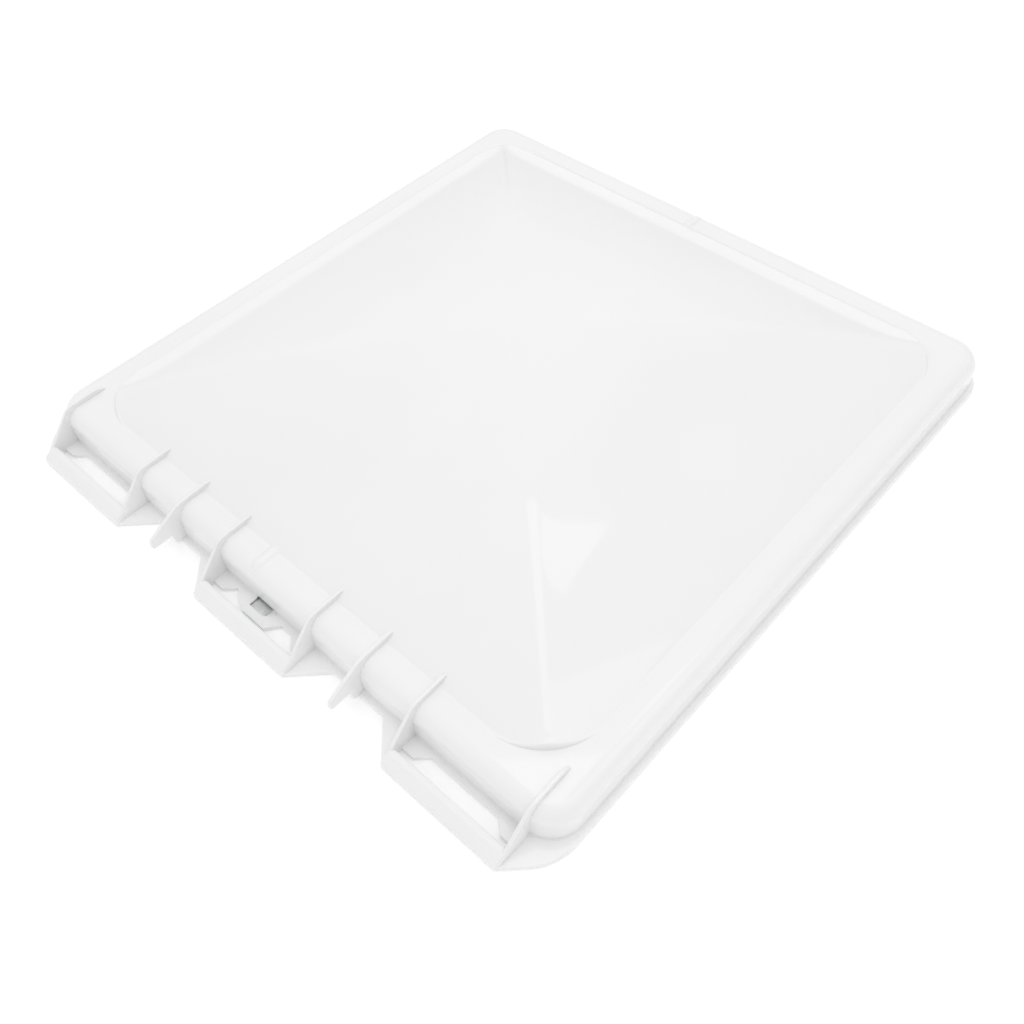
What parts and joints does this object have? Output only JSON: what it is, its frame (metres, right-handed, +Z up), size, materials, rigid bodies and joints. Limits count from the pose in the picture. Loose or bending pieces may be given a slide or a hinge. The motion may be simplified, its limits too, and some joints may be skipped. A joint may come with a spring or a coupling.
{
  "type": "roof vent cover",
  "caption": "Square moulded plastic roof vent lid with a crowned four-sided top, hinge tabs along one edge, and a steel lift rail with a sliding shoe underneath.",
  "frame": {"origin": "middle of the lid's whole footprint, at the underside of the flange", "axes": "+X along the hinge edge, +Y from the hinge edge to the front edge, +Z up through the crown"},
  "size_m": [0.3944, 0.4124, 0.062],
  "materials": {
    "lid_plastic": "semi-gloss white moulded polypropylene",
    "galvanised_steel": "galvanised sheet, dull",
    "plated_steel": "zinc plated, satin",
    "nylon": "natural nylon, satin",
    "seal_foam": "closed-cell foam, matt"
  },
  "bodies": {
    "lid": {"lid_shell": "lid_plastic", "lift_rail": "galvanised_steel", "rail_screws": "plated_steel", "rail_washers": "plated_steel", "rail_stops": "nylon", "weather_seal": "seal_foam"},
    "shoe": {"lift_shoe": "nylon"},
    "pin": {"shoe_pin": "plated_steel", "pin_clip": "plated_steel"}
  },
  "joints": [
    {"name": "shoe_slide", "type": "slide", "parent": "lid", "child": "shoe", "axis": [0, -1, 0], "range_m": [0, 0.245]},
    {"name": "pin_turn", "type": "hinge", "parent": "shoe", "child": "pin", "pos_m": [-0.0092, 0.1335, 0.0074], "axis": [1, 0, 0], "range_deg": [0, 85]}
  ]
}
